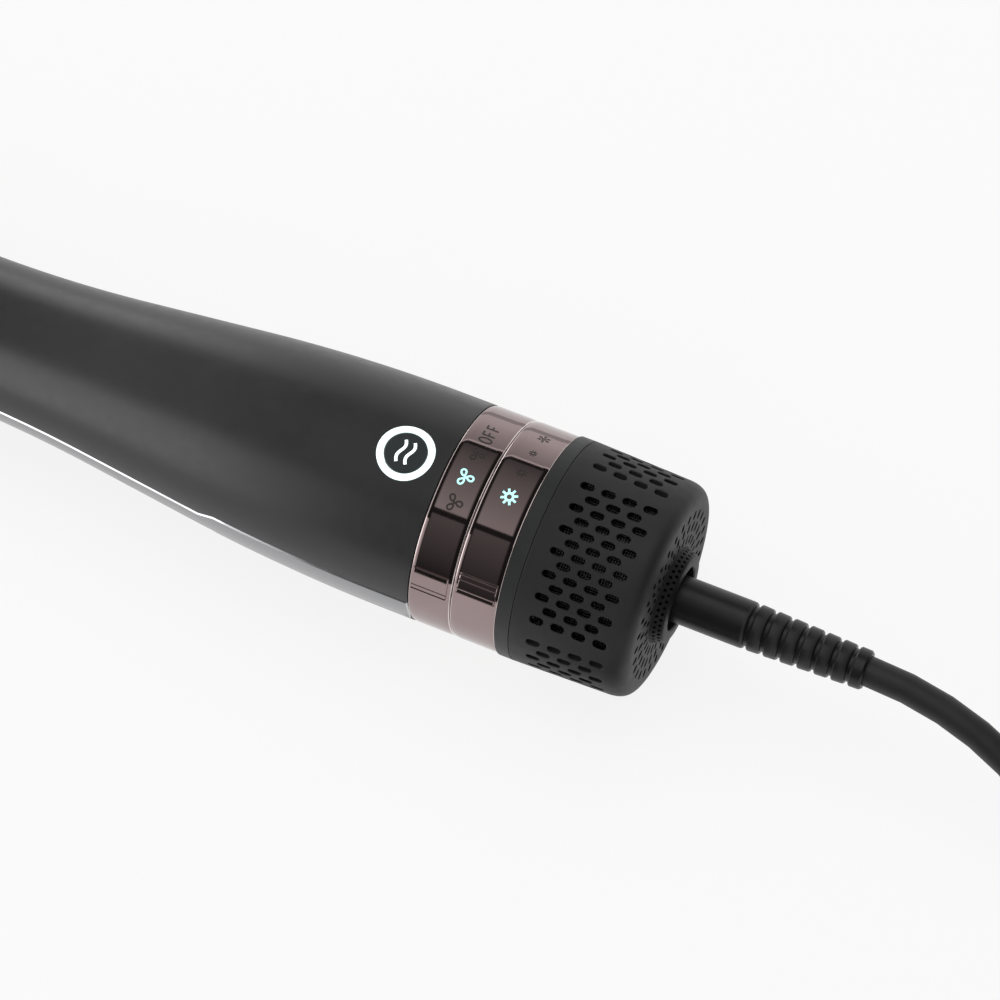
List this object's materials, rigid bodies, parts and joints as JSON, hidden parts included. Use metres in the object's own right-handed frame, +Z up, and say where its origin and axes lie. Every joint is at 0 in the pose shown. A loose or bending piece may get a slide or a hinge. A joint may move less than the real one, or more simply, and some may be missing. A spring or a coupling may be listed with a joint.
{
  "type": "hot air styling brush",
  "caption": "Corded hot-air styling brush lying on its side, with an oval vented head, bristles, two ring dials, a lit button, a slotted rear filter cap and a coiled lead.",
  "frame": {"origin": "under the middle of the brush without its cord, on the surface that it lies on", "axes": "+X along the brush from the head towards the cord, +Z up through the ion button, +Y to the left seen from the head's end"},
  "size_m": [0.5714, 0.1139, 0.0526],
  "materials": {
    "handle_charcoal": "satin",
    "trim_silver": "brushed",
    "light_guide": "lit, translucent",
    "ring_bronze": "plated, mirror-like",
    "frame_black": "satin",
    "cap_grey": "fine matte",
    "screen_mesh": "fine woven nylon",
    "cord_rubber": "satin",
    "tie_strap": "matte",
    "pin_metal": "nickel plated",
    "bush_white": "natural",
    "bare_steel": "plain",
    "contact_brass": "plain",
    "board_green": "lacquered",
    "liner_metal": "plain",
    "mica_sheet": "layered",
    "barrel_coating": "coated, satin",
    "tip_black": "satin",
    "bristle_nylon": "nylon"
  },
  "bodies": {
    "handle": {"bristle_strip_01": "bristle_nylon", "bristle_strip_02": "bristle_nylon", "bristle_strip_03": "bristle_nylon", "bristle_strip_04": "bristle_nylon", "bristle_strip_05": "bristle_nylon", "bristle_strip_06": "bristle_nylon", "bristle_strip_07": "bristle_nylon", "bristle_strip_08": "bristle_nylon", "bristle_strip_09": "bristle_nylon", "bristle_strip_10": "bristle_nylon", "circuit_board": "board_green", "coil_tie": "tie_strap", "cool_tip": "tip_black", "cord_coil": "cord_rubber", "cord_lead": "cord_rubber", "detent_pins": "bare_steel", "fan_housing": "frame_black", "frame_screws": "bare_steel", "heater_coil": "bare_steel", "heater_frame": "mica_sheet", "heater_liner": "liner_metal", "ion_emitter": "contact_brass", "ion_generator": "frame_black", "ion_light_ring": "light_guide", "ion_switch": "frame_black", "left_side_trim": "trim_silver", "lower_handle_shell": "handle_charcoal", "motor": "bare_steel", "neck_collar": "handle_charcoal", "plug_body": "cord_rubber", "plug_pins": "pin_metal", "rear_frame": "frame_black", "right_side_trim": "trim_silver", "ring_carrier": "frame_black", "selector_board": "board_green", "swivel_bush": "bush_white", "thermal_fuse": "liner_metal", "upper_handle_shell": "handle_charcoal", "vented_barrel": "barrel_coating"},
    "speed_ring": {"speed_ring": "ring_bronze", "speed_wiper": "contact_brass"},
    "heat_ring": {"heat_ring": "ring_bronze", "heat_wiper": "contact_brass"},
    "ion_button": {"ion_button": "handle_charcoal"},
    "filter_cap": {"filter_cap": "cap_grey", "filter_screen": "screen_mesh"},
    "cord_swivel": {"cord_sleeve": "cord_rubber"},
    "fan": {"fan_impeller": "bush_white", "motor_shaft": "bare_steel"}
  },
  "joints": [
    {"name": "speed_turn", "type": "hinge", "parent": "handle", "child": "speed_ring", "pos_m": [0.12337, 0, 0.02628], "axis": [1, 0, 0], "range_deg": [-15, 30]},
    {"name": "heat_turn", "type": "hinge", "parent": "handle", "child": "heat_ring", "pos_m": [0.13432, 0, 0.02628], "axis": [1, 0, 0], "range_deg": [0, 45]},
    {"name": "ion_press", "type": "slide", "parent": "handle", "child": "ion_button", "axis": [0, 0, -1], "range_m": [0, 0.0008], "stiffness_N_per_m": 800},
    {"name": "cap_pull", "type": "slide", "parent": "handle", "child": "filter_cap", "axis": [1, 0, 0], "range_m": [0, 0.036]},
    {"name": "cord_turn", "type": "hinge", "parent": "handle", "child": "cord_swivel", "pos_m": [0.17833, 0, 0.02628], "axis": [1, 0, 0], "continuous": true},
    {"name": "fan_spin", "type": "hinge", "parent": "handle", "child": "fan", "pos_m": [0.08032, 0, 0.02628], "axis": [1, 0, 0], "continuous": true}
  ]
}
